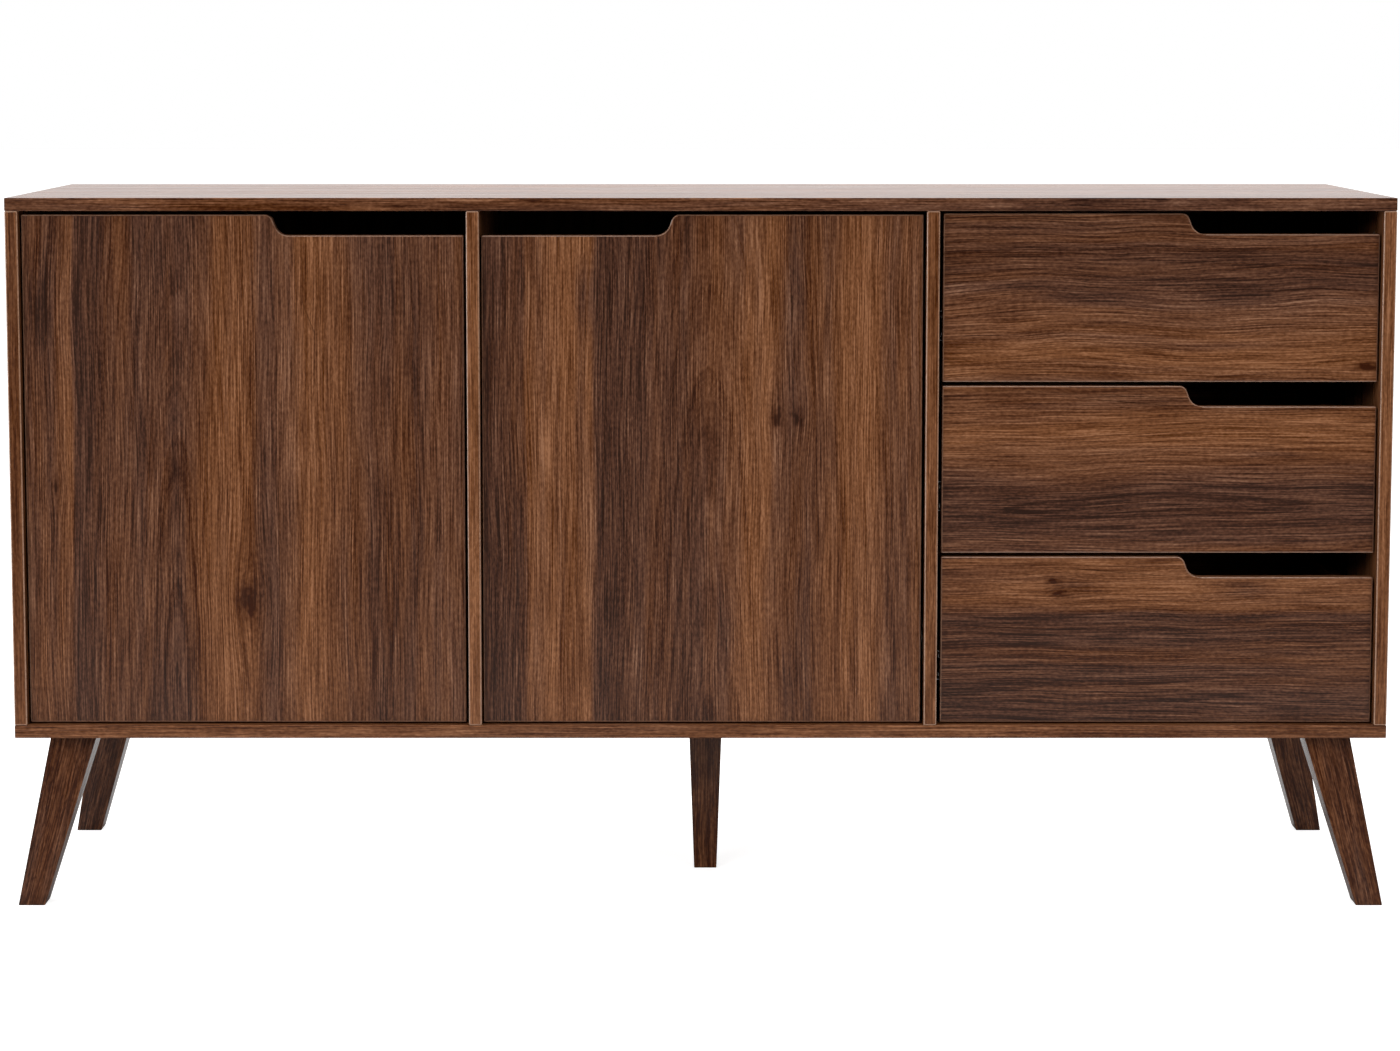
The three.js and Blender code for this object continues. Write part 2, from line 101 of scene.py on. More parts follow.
def add_world():
    """A white studio: bright behind and above the sideboard, dim in front, and plain white to the camera."""
    world = bpy.data.worlds.new("studio")
    world.use_nodes = True
    nodes = world.node_tree.nodes
    links = world.node_tree.links
    direction = nodes.new("ShaderNodeTexCoord")
    split = nodes.new("ShaderNodeSeparateXYZ")
    links.new(direction.outputs["Generated"], split.inputs[0])

    def glow(axis, start, end, low, high):
        """Light that goes from low to high as a ray's direction along the axis goes from start to end."""
        node = nodes.new("ShaderNodeMapRange")
        for name, value in zip(MAP_RANGE_INPUTS, (start, end, low, high)):
            node.inputs[name].default_value = value
        links.new(split.outputs[axis], node.inputs["Value"])
        return node.outputs["Result"]

    brighter = nodes.new("ShaderNodeMath")
    brighter.operation = "MAXIMUM"
    links.new(glow("Y", start=-0.5, end=0.3, low=0.06, high=1.0), brighter.inputs[0])
    links.new(glow("Z", start=0.35, end=0.9, low=0.0, high=1.3), brighter.inputs[1])
    rays = nodes.new("ShaderNodeLightPath")
    shown = nodes.new("ShaderNodeMix")
    links.new(rays.outputs["Is Camera Ray"], shown.inputs["Factor"])
    links.new(brighter.outputs[0], shown.inputs["A"])
    shown.inputs["B"].default_value = 1.0
    background = nodes["Background"]
    background.inputs["Color"].default_value = (1, 1, 1, 1)
    links.new(shown.outputs["Result"], background.inputs["Strength"])
    SCENE.world = world


def add_floor():
    """A pale floor, lit like a light table to the eye, so that only the softest shadows are left on it."""
    half_width, near, far = 14, -1.7, 30
    glow_to_camera = 0.8
    bm = bmesh.new()
    corners = [(-half_width, near), (half_width, near), (half_width, far), (-half_width, far)]
    bm.faces.new([bm.verts.new((x, y, 0)) for x, y in corners])
    floor = bpy.data.objects.new("floor", to_mesh("floor", bm))
    SCENE.collection.objects.link(floor)
    g = Graph("pale_floor")
    shade = g.noise(g.position(), 2.0)
    g.link(g.remap(shade, 0, 1, 0.75, 0.85), g.shader.inputs["Roughness"])
    g.set(Base_Color=(0.5, 0.5, 0.5, 1), Specular_IOR_Level=0.2, Emission_Color=(1, 1, 1, 1))
    rays = g.tree.nodes.new("ShaderNodeLightPath")
    g.link(g.times(rays.outputs["Is Camera Ray"], glow_to_camera), g.shader.inputs["Emission Strength"])
    floor.data.materials.append(g.material)


# ---- Material graphs ----------------------------------------------------------------------------

class Graph:
    """Short calls for building one material's nodes."""

    def __init__(self, name):
        self.material = bpy.data.materials.new(name)
        self.material.use_nodes = True
        self.tree = self.material.node_tree
        self.tree.nodes.clear()
        self.shader = self.tree.nodes.new("ShaderNodeBsdfPrincipled")
        output = self.tree.nodes.new("ShaderNodeOutputMaterial")
        self.link(self.shader.outputs["BSDF"], output.inputs["Surface"])

    def link(self, source, socket):
        if hasattr(source, "links"):
            self.tree.links.new(source, socket)
        else:
            socket.default_value = source

    def set(self, **constants):
        """Constants on the shader's own sockets, named with _ for a space."""
        for name, value in constants.items():
            self.shader.inputs[name.replace("_", " ")].default_value = value

    def math(self, operation, a, b=0.0):
        node = self.tree.nodes.new("ShaderNodeMath")
        node.operation = operation
        for socket, value in zip(node.inputs, (a, b)):
            self.link(value, socket)
        return node.outputs[0]

    def add(self, a, b):
        return self.math("ADD", a, b)

    def times(self, a, b):
        return self.math("MULTIPLY", a, b)

    def total(self, *terms):
        result = terms[0]
        for term in terms[1:]:
            result = self.add(result, term)
        return result

    def position(self):
        return self.tree.nodes.new("ShaderNodeTexCoord").outputs["Object"]

    def split(self, vector):
        node = self.tree.nodes.new("ShaderNodeSeparateXYZ")
        self.link(vector, node.inputs[0])
        return node.outputs[0], node.outputs[1], node.outputs[2]

    def vector(self, x, y, z):
        node = self.tree.nodes.new("ShaderNodeCombineXYZ")
        for socket, value in zip(node.inputs, (x, y, z)):
            self.link(value, socket)
        return node.outputs[0]

    def waves(self, per_x, per_y, per_z):
        """The place as a vector for noise with so many waves for each metre along each axis."""
        x, y, z = self.split(self.position())
        return self.vector(self.times(x, per_x), self.times(y, per_y), self.times(z, per_z))

    def noise(self, vector, scale=1.0, detail=2.0, roughness=0.5):
        node = self.tree.nodes.new("ShaderNodeTexNoise")
        node.inputs["Scale"].default_value = scale
        node.inputs["Detail"].default_value = detail
        node.inputs["Roughness"].default_value = roughness
        self.link(vector, node.inputs["Vector"])
        return node.outputs["Fac"]

    def remap(self, value, low, high, new_low=0.0, new_high=1.0):
        """Goes smoothly from new_low to new_high as the value goes from low to high, and no further."""
        node = self.tree.nodes.new("ShaderNodeMapRange")
        node.interpolation_type = "SMOOTHSTEP"
        self.link(value, node.inputs["Value"])
        for name, number in zip(MAP_RANGE_INPUTS, (low, high, new_low, new_high)):
            node.inputs[name].default_value = number
        return node.outputs["Result"]

    def ramp(self, value, stops):
        """stops are (place, grey or colour)."""
        node = self.tree.nodes.new("ShaderNodeValToRGB")
        elements = node.color_ramp.elements
        while len(elements) < len(stops):
            elements.new(0.5)
        for element, (place, colour) in zip(elements, stops):
            element.position = place
            grey = isinstance(colour, (int, float))
            element.color = (colour, colour, colour, 1) if grey else (*colour, 1)
        self.link(value, node.inputs[0])
        return node.outputs["Color"]

    def mix(self, amount, a, b):
        """A mix of two colours, whose sockets come after the ones for numbers and vectors."""
        node = self.tree.nodes.new("ShaderNodeMix")
        node.data_type = "RGBA"
        self.link(amount, node.inputs["Factor"])
        self.link(a, node.inputs[6])
        self.link(b, node.inputs[7])
        return node.outputs[2]

    def bump(self, height, depth, strength):
        node = self.tree.nodes.new("ShaderNodeBump")
        node.inputs["Distance"].default_value = depth
        node.inputs["Strength"].default_value = strength
        self.link(height, node.inputs["Height"])
        self.link(node.outputs[0], self.shader.inputs["Normal"])


def srgb(red, green, blue):
    """A linear colour from the 0 to 255 values that a screen shows."""
    def linear(level):
        share = level / 255
        return share / 12.92 if share <= 0.04045 else ((share + 0.055) / 1.055) ** 2.4
    return linear(red), linear(green), linear(blue)


# ---- Walnut -------------------------------------------------------------------------------------

# Colours from dark to light, for the wood's cooler and warmer streaks.
COOL_WALNUT = [
    (0.00, srgb(42, 24, 16)),
    (0.23, srgb(66, 40, 29)),
    (0.47, srgb(87, 56, 41)),
    (0.76, srgb(111, 77, 59)),
    (1.00, srgb(136, 101, 80)),
]
WARM_WALNUT = [
    (0.00, srgb(54, 21, 4)),
    (0.23, srgb(75, 39, 15)),
    (0.47, srgb(96, 57, 32)),
    (0.76, srgb(121, 77, 48)),
    (1.00, srgb(147, 100, 69)),
]

# The middle of the ramps. Tones are counted from it, up for paler wood and down for darker.
MIDDLE = 0.5

# How much each layer of the figure lightens the wood, or darkens it where the number is negative.
BAND_STRENGTH = 1.35
FIGURE_STRENGTH = 0.40
STREAK_STRENGTH = 0.30
LINE_STRENGTH = 0.34
REED_STRENGTH = 0.070
COMB_STRENGTH = 1.65
FLECK_STRENGTH = 0.82
CLOUD_STRENGTH = -0.15
PORE_STRENGTH = -0.26
GLINT_STRENGTH = 0.20
KNOT_STRENGTH = -0.34
PITH_STRENGTH = -0.70

RINGS_PER_METRE = 62.0
REED_RADIANS_PER_METRE = 1500.0
KNOT_PARTING = -0.6
GRAIN_DEPTH = 0.10 * MM
LACQUER_IOR = 1.3


class Wood:
    """Where a point lies in a board, across and along its grain, and noise stretched along the grain."""

    def __init__(self, g, along, across, lean, seed):
        place = dict(zip(AXES, g.split(g.position())))
        deep = next(axis for axis in AXES if axis not in (along, across))
        self.g = g
        self.seed = seed
        self.along = place[along]
        self.across = g.add(place[across], g.times(self.along, -lean[0]))
        self.deep = g.add(place[deep], g.times(self.along, -lean[1]))

    def noise(self, at, across, along, detail=2.0):
        """Noise from about -0.35 to 0.35, with so many waves for each metre across and along the grain."""
        g = self.g
        sideways = g.times(g.add(at, self.seed), across)
        vector = g.vector(sideways, g.times(self.deep, across), g.times(self.along, along))
        return g.add(g.noise(vector, detail=detail, roughness=0.55), -0.5)


def falloff(g, u, v, at, radii):
    """1 at a point of the face, fading to 0 over an ellipse's radii across and along the grain."""
    du = g.times(g.add(u, -at[0]), 1 / radii[0])
    dv = g.times(g.add(v, -at[1]), 1 / radii[1])
    square = g.add(g.times(du, du), g.times(dv, dv))
    return g.math("POWER", math.e, g.times(square, -1))


def wander(g, wood, knots, wave):
    """How far aside the grain strays, in metres: in slow and quick waves, and around each knot."""
    slow_reach, quick_reach = 0.028 * wave, 0.005 * wave
    slow = g.times(wood.noise(wood.across, across=4.0, along=1.6), slow_reach)
    quick = g.times(wood.noise(wood.across, across=18.0, along=6.5, detail=1.0), quick_reach)
    aside = g.add(slow, quick)
    for across_at, along_at, radius in knots:
        near = falloff(g, wood.across, wood.along, (across_at, along_at), (radius * 2.5, radius * 7.0))
        from_knot = g.times(g.add(wood.across, -across_at), near)
        aside = g.add(aside, g.times(from_knot, KNOT_PARTING))
    return aside


def ring_distance(g, wood, grain, heart, taper):
    """How far out from the heart a growth ring lies. The rings are long ellipses on the board's face."""
    from_heart = g.add(grain, -heart[0])
    up = g.times(g.add(wood.along, -heart[1]), taper)
    return g.math("SQRT", g.add(g.times(from_heart, from_heart), g.times(up, up)))


def late_wood(g, wood, ring):
    """1 where a growth ring is darkest. Rings darken outwards, end at a crisp line, and come and go."""
    unevenness = g.times(wood.noise(ring, across=16.0, along=0.9), 5.0)
    turn = g.math("FRACT", g.add(g.times(ring, RINGS_PER_METRE), unevenness))
    darkening = g.remap(turn, 0.45, 0.93)
    crisp_end = g.remap(turn, 0.95, 1.0, 1.0, 0.0)
    presence = g.remap(wood.noise(ring, across=9.0, along=1.4), -0.16, 0.16, 0.15, 1.0)
    return g.times(g.times(darkening, crisp_end), presence)


def reeds(g, wood, grain, ring):
    """Fine even ribs along the grain, which come and go."""
    unevenness = g.times(wood.noise(ring, across=48.0, along=1.6), 22.0)
    ribs = g.math("SINE", g.add(g.times(ring, REED_RADIANS_PER_METRE), unevenness))
    presence = g.remap(wood.noise(grain, across=30.0, along=2.4), -0.15, 0.15, 0.3, 1.0)
    return g.times(ribs, presence)


def band_tone(g, place, bands):
    """The tone of broad bands side by side: (place across the grain, tone above or below the middle)."""
    first, last = bands[0][0], bands[-1][0]
    share = g.times(g.add(place, -first), 1 / (last - first))
    stops = [((at - first) / (last - first), MIDDLE + tone) for at, tone in bands]
    return g.add(g.ramp(share, stops), -MIDDLE)


def broad_tone(g, wood, grain, bands, smoke, streaky):
    """The slow part of the figure: its own soft bands, the ones asked for, and the dark stains."""
    broad = g.times(wood.noise(grain, across=15.0, along=1.0), FIGURE_STRENGTH)
    if bands:
        broad = g.add(broad, g.times(band_tone(g, grain, bands), BAND_STRENGTH))
    ragged = g.add(g.times(streaky, 2.4), 1.0)
    for across_at, along_at, width, length, tone in smoke:
        near = falloff(g, grain, wood.along, (across_at, along_at), (width, length))
        broad = g.add(broad, g.times(g.times(near, ragged), tone))
    return broad


def knot_tone(g, wood, across_at, along_at, radius):
    """A ragged dark knot with a darker pith low down in it."""
    pith_at = along_at - radius * 0.6
    knot = falloff(g, wood.across, wood.along, (across_at, along_at), (radius, radius * 2.3))
    pith = falloff(g, wood.across, wood.along, (across_at, pith_at), (radius * 0.4, radius * 0.9))
    ragged = g.add(g.times(wood.noise(wood.across, across=160.0, along=50.0), 2.6), 1.0)
    return g.times(g.add(g.times(knot, KNOT_STRENGTH), g.times(pith, PITH_STRENGTH)), ragged)


def walnut(name, along="Z", across="X", lean=(0, 0), seed=0.0, heart=None, taper=0.05, bands=(), knots=(),
           smoke=(), rings=0.23, wave=1.0, light=0.0, warm=0.0, contrast=1.0, roughness=0.3):
    """Satin walnut veneer.

    along and across are the axes of the grain, and lean is how far it drifts along the other two for each
    metre. heart is the middle of the growth rings' long ellipses, (across, along), and taper their width over
    their length. bands are (across, tone), knots (across, along, radius), and smoke is dark stains, (across,
    along, width, length, tone). rings is how dark the growth rings' lines are, and wave how much the grain
    wanders. light lifts the whole tone, warm moves the hue to the warmer colours, and contrast spreads the
    tones."""
    g = Graph(name)
    wood = Wood(g, along, across, lean, seed)
    grain = g.add(wood.across, wander(g, wood, knots, wave))
    ring = ring_distance(g, wood, grain, heart or (seed, 0.0), taper)

    streaks = wood.noise(ring, across=60.0, along=1.3)
    lines = wood.noise(ring, across=230.0, along=3.6)
    streaky = g.add(streaks, lines)
    comb = wood.noise(grain, across=640.0, along=12.0, detail=1.0)
    flecks = wood.noise(grain, across=420.0, along=170.0, detail=1.0)
    dashes = wood.noise(grain, across=850.0, along=40.0, detail=1.0)
    pores = g.remap(dashes, 0.10, 0.24)
    glints = g.remap(dashes, -0.12, -0.26)
    cloud = g.remap(wood.noise(grain, across=24.0, along=3.6, detail=3.0), 0.10, 0.28)

    broad = broad_tone(g, wood, grain, bands, smoke, streaky)
    tone = g.total(
        broad,
        g.times(streaks, STREAK_STRENGTH),
        g.times(lines, LINE_STRENGTH),
        g.times(reeds(g, wood, grain, ring), REED_STRENGTH),
        g.times(comb, COMB_STRENGTH),
        g.times(flecks, FLECK_STRENGTH),
        g.times(late_wood(g, wood, ring), -rings),
        g.times(cloud, CLOUD_STRENGTH),
        g.times(pores, PORE_STRENGTH),
        g.times(glints, GLINT_STRENGTH),
        *(knot_tone(g, wood, *knot) for knot in knots),
    )
    tone = g.add(g.times(tone, contrast), MIDDLE + light)

    # The broad figure sets the hue too: dark bands are cooler and pale ones warmer.
    wide_patches = g.times(wood.noise(grain, across=11.0, along=1.2), 0.6)
    narrow_patches = g.times(wood.noise(grain, across=48.0, along=3.0), 0.7)
    hue = g.total(warm, g.times(broad, 1.1), wide_patches, narrow_patches)
    warmth = g.remap(hue, -0.28, 0.28)
    colour = g.mix(warmth, g.ramp(tone, COOL_WALNUT), g.ramp(tone, WARM_WALNUT))
    g.link(colour, g.shader.inputs["Base Color"])

    relief = g.add(g.times(comb, 0.5), g.times(pores, -0.8))
    duller = g.add(g.times(relief, -0.10), g.times(streaky, 0.22))
    g.link(g.add(roughness, duller), g.shader.inputs["Roughness"])
    g.bump(relief, depth=GRAIN_DEPTH, strength=0.6)
    g.set(IOR=LACQUER_IOR)
    return g.material


def walnut_arris(name, dark, pale):
    """A lacquered board's rounded edge: a painted highlight, paler than the board in mottled patches, under
    lacquer that shines.
    """
    g = Graph(name)
    highlight_mottle = g.noise(g.position(), 220.0, detail=3)
    # The ramp paints a highlight onto the edge, paler than its board, in mottled patches.
    g.link(g.ramp(highlight_mottle, [(0.3, dark), (0.7, pale)]), g.shader.inputs["Base Color"])
    g.link(g.remap(highlight_mottle, 0.2, 0.8, 0.24, 0.38), g.shader.inputs["Roughness"])
    g.bump(highlight_mottle, depth=0.05 * MM, strength=0.4)
    g.set(Coat_Weight=1.0, Coat_Roughness=0.28)
    return g.material


# ---- Other materials ----------------------------------------------------------------------------

RAW_FIBRE = [
    (0.1, srgb(74, 52, 38)),
    (0.5, srgb(104, 76, 56)),
    (0.9, srgb(132, 101, 76)),
]
WALNUT_PRINT = [
    (0.25, srgb(56, 36, 26)),
    (0.55, srgb(84, 55, 40)),
    (0.85, srgb(112, 76, 56)),
]


def hardboard():
    """Thin board: walnut print on the side that faces the compartments, raw brown fibre behind."""
    g = Graph("printed_hardboard")
    fibre = g.noise(g.waves(900, 900, 900), detail=3)
    mottle = g.noise(g.position(), 45.0, detail=4, roughness=0.6)
    raw = g.add(g.times(g.add(fibre, -0.5), 0.9), g.times(g.add(mottle, -0.5), 0.5))
    lines = g.noise(g.waves(260, 0, 3.5), detail=3)
    streaks = g.noise(g.waves(22, 0, 1.2))
    print_tone = g.add(g.times(lines, 0.6), g.times(streaks, 0.5))
    front, back = (corner.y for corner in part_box("middle_back_panel"))
    behind = g.math("GREATER_THAN", g.split(g.position())[1], (front + back) / 2)
    colour = g.mix(behind, g.ramp(print_tone, WALNUT_PRINT), g.ramp(g.add(raw, MIDDLE), RAW_FIBRE))
    g.link(colour, g.shader.inputs["Base Color"])
    g.link(g.add(0.55, g.times(behind, 0.25)), g.shader.inputs["Roughness"])
    g.bump(g.times(raw, behind), depth=0.15 * MM, strength=0.8)
    g.set(IOR=1.4)
    return g.material


def plated_steel(name, dark, light, roughness, brushed):
    """Plated steel with faint drawing marks along Y and the cloudy patches that plating leaves.

    brushed is the marks' share of the colour, and the clouds have the rest."""
    g = Graph(name)
    marks = g.noise(g.waves(2200, 60, 2200))
    clouds = g.noise(g.position(), 90.0, detail=3)
    tone = g.add(g.times(marks, brushed), g.times(clouds, 1 - brushed))
    g.link(g.ramp(tone, [(0.3, dark), (0.7, light)]), g.shader.inputs["Base Color"])
    g.link(g.add(roughness, g.times(g.add(tone, -0.5), 0.12)), g.shader.inputs["Roughness"])
    g.bump(marks, depth=0.02 * MM, strength=0.5)
    g.set(Metallic=1.0)
    return g.material


def moulded_plastic(name, colour, roughness=0.45):
    """A moulded part: fine even grain and slight shade differences."""
    g = Graph(name)
    clouds = g.noise(g.position(), 160.0)
    grain = g.noise(g.position(), 2600.0, detail=1)
    darker = tuple(level * 0.75 for level in colour)
    lighter = tuple(level * 1.2 for level in colour)
    g.link(g.ramp(clouds, [(0.3, darker), (0.7, lighter)]), g.shader.inputs["Base Color"])
    g.link(g.add(roughness, g.times(g.add(grain, -0.5), 0.15)), g.shader.inputs["Roughness"])
    g.bump(grain, depth=0.03 * MM, strength=0.5)
    return g.material


# ---- CAD nodes ----------------------------------------------------------------------------------

def soften(obj, width, clamp=True):
    """Rounds the edges that the CAD model leaves sharp, without touching its mesh.

    The rounding takes the node's second material if there is one. clamp narrows it where edges are short,
    which a curved outline doesn't need."""
    weld = obj.modifiers.new("weld", "WELD")
    weld.merge_threshold = 0.01 * MM
    bevel = obj.modifiers.new("round_edges", "BEVEL")
    bevel.width = width
    bevel.segments = 3
    bevel.limit_method = "ANGLE"
    bevel.angle_limit = math.radians(35)
    bevel.harden_normals = True
    bevel.use_clamp_overlap = clamp
    if len(obj.data.materials) > 1:
        bevel.material = 1


def finish_node(name, material, edge, arris=None, clamp=True):
    """Gives a CAD node its material and rounds its edges, which take the arris material if there is one."""
    obj = NODES[name]
    obj.data.materials.clear()
    obj.data.materials.append(material)
    if arris:
        obj.data.materials.append(arris)
    soften(obj, edge, clamp=clamp)


BOARD_EDGE = 1.0 * MM
FRONT_EDGE = 1.5 * MM
UPRIGHT_EDGE = 1.5 * MM
LINING_EDGE = 0.5 * MM
RAIL_EDGE = 0.35 * MM
THIN_EDGE = 0.3 * MM

# Where each front's own figure lies, in metres across and along its grain. Tones are shares of the range from
# the darkest wood to the palest.
FRONT_LOOKS = {
    "left_door": dict(
        along="Z", across="X", seed=1.3, heart=(-0.607, 0.25), taper=0.10, rings=0.21,
        bands=((-0.784, -0.07), (-0.728, 0.04), (-0.722, -0.21), (-0.700, -0.16), (-0.690, -0.08),
               (-0.610, -0.08), (-0.570, 0.07), (-0.535, 0.15), (-0.510, 0.0), (-0.490, 0.02),
               (-0.455, 0.15), (-0.410, 0.03), (-0.370, -0.12), (-0.330, -0.08), (-0.300, 0.03),
               (-0.273, -0.02)),
        knots=((-0.524, 0.360, 0.009), (-0.748, 0.495, 0.004)),
        smoke=((-0.760, 0.700, 0.014, 0.045, -0.28), (-0.625, 0.750, 0.012, 0.04, -0.16),
               (-0.336, 0.640, 0.006, 0.09, -0.20), (-0.333, 0.450, 0.006, 0.06, -0.20),
               (-0.610, 0.570, 0.012, 0.06, -0.12), (-0.524, 0.366, 0.008, 0.018, -0.22)),
    ),
    "middle_door": dict(
        along="Z", across="X", seed=4.7, heart=(0.010, 0.12), taper=0.11, rings=0.19,
        bands=((-0.254, -0.16), (-0.203, -0.10), (-0.199, 0.08), (-0.126, 0.16), (-0.118, -0.11),
               (-0.060, -0.09), (-0.010, -0.10), (0.030, 0.03), (0.078, 0.17), (0.100, 0.03), (0.145, 0.05),
               (0.188, 0.16), (0.225, 0.02), (0.258, 0.10)),
        knots=((0.088, 0.577, 0.007), (0.112, 0.577, 0.006)),
        smoke=((-0.131, 0.715, 0.013, 0.040, -0.28), (-0.214, 0.400, 0.007, 0.10, -0.22),
               (0.030, 0.330, 0.008, 0.06, -0.16), (0.105, 0.720, 0.012, 0.05, -0.13),
               (0.102, 0.600, 0.018, 0.030, -0.05), (0.100, 0.260, 0.010, 0.05, -0.18)),
    ),
    "top_drawer": dict(
        along="X", across="Z", seed=3.9, heart=(0.655, 0.62), taper=0.08, rings=0.34, wave=2.4,
        bands=((0.616, 0.0), (0.647, 0.18), (0.675, 0.12), (0.703, 0.07), (0.722, -0.05), (0.750, -0.12),
               (0.790, -0.02), (0.812, 0.02)),
        knots=((0.634, 0.774, 0.007),),
        smoke=((0.715, 0.45, 0.008, 0.05, -0.18), (0.720, 0.62, 0.008, 0.04, -0.16)),
    ),
    "middle_drawer": dict(
        along="X", across="Z", seed=9.4, heart=(0.470, 0.55), taper=0.06, rings=0.32, wave=1.5,
        bands=((0.416, 0.0), (0.440, -0.08), (0.483, -0.18), (0.505, -0.04), (0.530, 0.04), (0.555, 0.14),
               (0.585, 0.03), (0.613, 0.0)),
        smoke=((0.460, 0.36, 0.008, 0.06, -0.16), (0.530, 0.66, 0.006, 0.05, -0.12)),
    ),
    "bottom_drawer": dict(
        along="X", across="Z", seed=7.1, heart=(0.375, 0.50), taper=0.06, rings=0.27, wave=1.5,
        bands=((0.217, -0.10), (0.260, -0.10), (0.290, -0.03), (0.315, -0.12), (0.343, -0.14), (0.352, 0.08),
               (0.395, 0.10), (0.413, 0.06)),
        knots=((0.369, 0.418, 0.004), (0.384, 0.412, 0.004)),
        smoke=((0.378, 0.436, 0.008, 0.032, -0.26), (0.377, 0.634, 0.008, 0.03, -0.20)),
    ),
}

# How much paler than the fronts each upright is, or darker where the number is negative.
UPRIGHT_LIGHT = {
    "left_side_panel": -0.05,
    "left_divider": 0.21,
    "right_divider": 0.06,
    "right_side_panel": 0.10,
}


def finish_boards():
    # The rounded edges' colours are painted highlights: paler than the wood, and palest on the uprights.
    front_arris_highlight = walnut_arris("front_arris_highlight", srgb(108, 76, 57), srgb(140, 103, 80))
    upright_arris_highlight = walnut_arris("upright_arris_highlight", srgb(128, 92, 68), srgb(160, 121, 95))
    for front, look in FRONT_LOOKS.items():
        node = f"{front}_panel" if front in DOORS else f"{front}_front"
        finish_node(node, walnut(f"{front}_walnut", **look), FRONT_EDGE, front_arris_highlight, clamp=False)
    top = walnut("top_walnut", along="X", across="Y", seed=2.2, contrast=0.9, light=0.04, roughness=0.22)
    finish_node("top_panel", top, BOARD_EDGE)
    bottom = walnut("bottom_walnut", along="X", across="Y", seed=5.1, contrast=0.9, light=0.06, warm=0.2)
    finish_node("bottom_panel", bottom, BOARD_EDGE)
    for index, name in enumerate(UPRIGHTS):
        look = walnut(f"{name}_walnut", across="Y", seed=1.7 * index + 0.4, contrast=0.8,
                      light=UPRIGHT_LIGHT[name], warm=0.3)
        finish_node(name, look, UPRIGHT_EDGE, upright_arris_highlight)
    for index, name in enumerate(SHELVES):
        look = walnut(f"{name}_walnut", along="X", across="Y", seed=6.3 + index, contrast=0.8, light=-0.04)
        finish_node(name, look, BOARD_EDGE)


def finish_legs():
    """The grain of each leg leans as the leg does, from the middle of its foot to the middle of its head."""
    for index, name in enumerate(CORNER_LEGS + ("centre_leg",)):
        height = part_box(name)[1].z
        head = [v.co for v in NODES[name].data.vertices if v.co.z > height / 2]
        foot = [v.co for v in NODES[name].data.vertices if v.co.z < height / 2]
        drift = (sum(head, Vector()) / len(head) - sum(foot, Vector()) / len(foot)) / height
        look = walnut(f"{name}_walnut", lean=(drift.x, drift.y), seed=2.3 * index + 0.9, contrast=0.9,
                      light=-0.24, roughness=0.28)
        finish_node(name, look, BOARD_EDGE)


def finish_inside():
    lined = dict(across="Z", contrast=0.55, light=0.10, roughness=0.45)
    lining = walnut("drawer_lining", along="Y", seed=8.2, **lined)
    lining_back = walnut("drawer_back_lining", along="X", seed=8.8, **lined)
    thin = hardboard()
    for name in BACK_PANELS:
        finish_node(name, thin, THIN_EDGE)
    drawer_bottom = walnut("drawer_bottom_print", along="X", across="Y", seed=3.1, contrast=0.5, light=0.04,
                           roughness=0.5)
    for drawer in DRAWERS:
        for side in ("left_side", "right_side"):
            finish_node(f"{drawer}_{side}", lining, LINING_EDGE)
        finish_node(f"{drawer}_back", lining_back, LINING_EDGE)
        finish_node(f"{drawer}_bottom", drawer_bottom, THIN_EDGE)


def finish_metal(zinc, nickel):
    for drawer in DRAWERS:
        for rail in ("left_case_rail", "right_case_rail", "left_drawer_rail", "right_drawer_rail"):
            finish_node(f"{drawer}_{rail}", zinc, RAIL_EDGE)
    for door in DOORS:
        for label in HINGE_LABELS:
            for part in ("cup", "arm", "link"):
                finish_node(f"{door}_{label}_hinge_{part}", nickel, THIN_EDGE)


# ---- Small fittings -----------------------------------------------------------------------------

SHELF_PIN_TONGUE_TOP = 3.8 * MM
RAIL_WALL = 1.2 * MM
STOP_HALF_WIDTH = 7 * MM
STOP_HEIGHT = 16 * MM


def to_mesh(name, bm):
    bmesh.ops.recalc_face_normals(bm, faces=bm.faces)
    mesh = bpy.data.meshes.new(name)
    bm.to_mesh(mesh)
    bm.free()
    for face in mesh.polygons:
        face.use_smooth = True
    mesh.set_sharp_from_angle(angle=math.radians(38))
    return mesh


def turn_profile(bm, profile, steps=32):
    """Turns (radius, height) points about Z, closes the first ring, and gives back the last one's edges."""
    rings = []
    for radius, height in profile:
        angles = [2 * math.pi * step / steps for step in range(steps)]
        rings.append([bm.verts.new((radius * math.cos(a), radius * math.sin(a), height)) for a in angles])
    for lower, upper in zip(rings, rings[1:]):
        for step in range(steps):
            after = (step + 1) % steps
            bm.faces.new((lower[step], lower[after], upper[after], upper[step]))
    bm.faces.new(rings[0])
    last = rings[-1]
    return [bm.edges.get((last[step], last[(step + 1) % steps])) for step in range(steps)]


def close_flat(bm, rim):
    bmesh.ops.contextual_create(bm, geom=rim)


def close_with_cross(bm, rim, reach, width, height, depth):
    """Closes a flat top around a cross-shaped recess whose arms narrow towards its floor."""
    half = width / 2
    narrowing = 0.55
    quarter = [(reach, -half), (reach, half), (half, half)]
    outline = []
    for turns in range(4):
        for x, y in quarter:
            for _ in range(turns):
                x, y = -y, x
            outline.append((x, y))
    top = [bm.verts.new((x, y, height)) for x, y in outline]
    floor = [bm.verts.new((x * narrowing, y * narrowing, height - depth)) for x, y in outline]
    edges = [bm.edges.new((top[i - 1], top[i])) for i in range(len(top))]
    bmesh.ops.triangle_fill(bm, edges=rim + edges, use_beauty=True)
    for i in range(len(top)):
        bm.faces.new((top[i - 1], top[i], floor[i], floor[i - 1]))
    bm.faces.new(floor)


